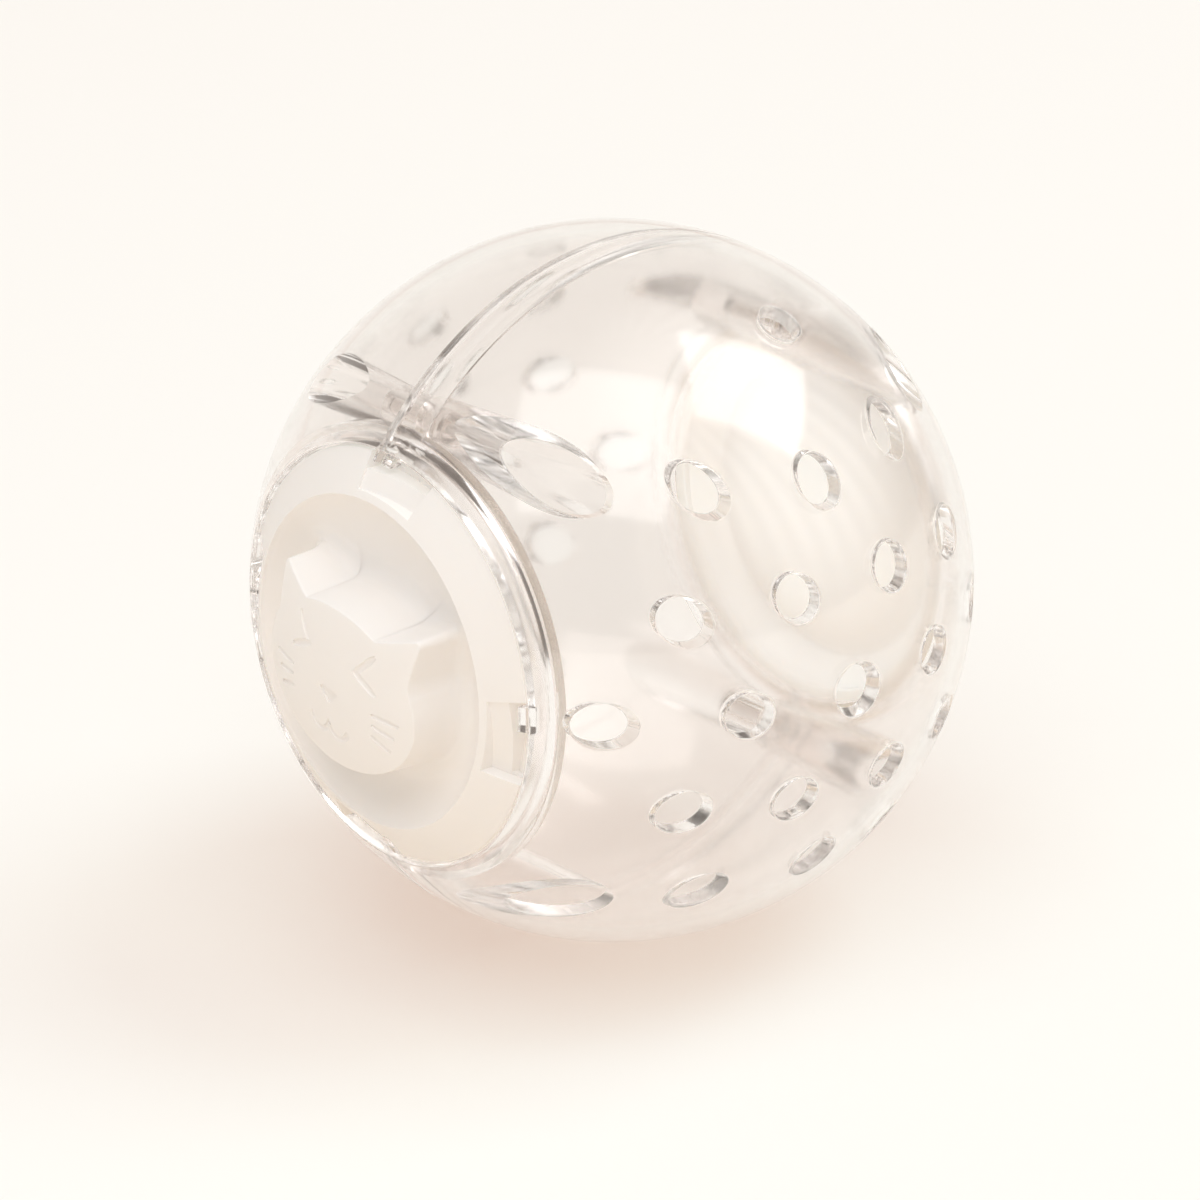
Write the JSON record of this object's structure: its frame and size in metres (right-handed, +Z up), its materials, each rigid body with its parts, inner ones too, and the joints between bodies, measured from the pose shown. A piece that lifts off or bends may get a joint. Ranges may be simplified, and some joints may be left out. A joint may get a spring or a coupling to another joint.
{
  "type": "treat dispensing ball",
  "caption": "Clear hollow ball for a pet, moulded in halves that meet on a seam, with vents all round and a round white door with a raised cat head at front and back that pulls out for filling.",
  "frame": {"origin": "centre of the ball", "axes": "+Z up as the ball lies in the picture, front door along -Y, back door along +Y, seam in the plane X = 0 with the right half on +X"},
  "size_m": [0.0994, 0.1, 0.1],
  "materials": {
    "clear_plastic": "clear polished moulding",
    "white_plastic": "warm white satin moulding",
    "pin_plastic": "clear moulding"
  },
  "bodies": {
    "ball_body": {"right_half_shell": "clear_plastic", "left_half_shell": "clear_plastic", "top_front_pin": "pin_plastic", "bottom_front_pin": "pin_plastic", "top_back_pin": "pin_plastic", "bottom_back_pin": "pin_plastic"},
    "front_door_body": {"front_door": "white_plastic"},
    "back_door_body": {"back_door": "white_plastic"}
  },
  "joints": [
    {"name": "front_door_pull", "type": "slide", "parent": "ball_body", "child": "front_door_body", "axis": [0, -1, 0], "range_m": [0, 0.04]},
    {"name": "back_door_pull", "type": "slide", "parent": "ball_body", "child": "back_door_body", "axis": [0, 1, 0], "range_m": [0, 0.04]}
  ]
}
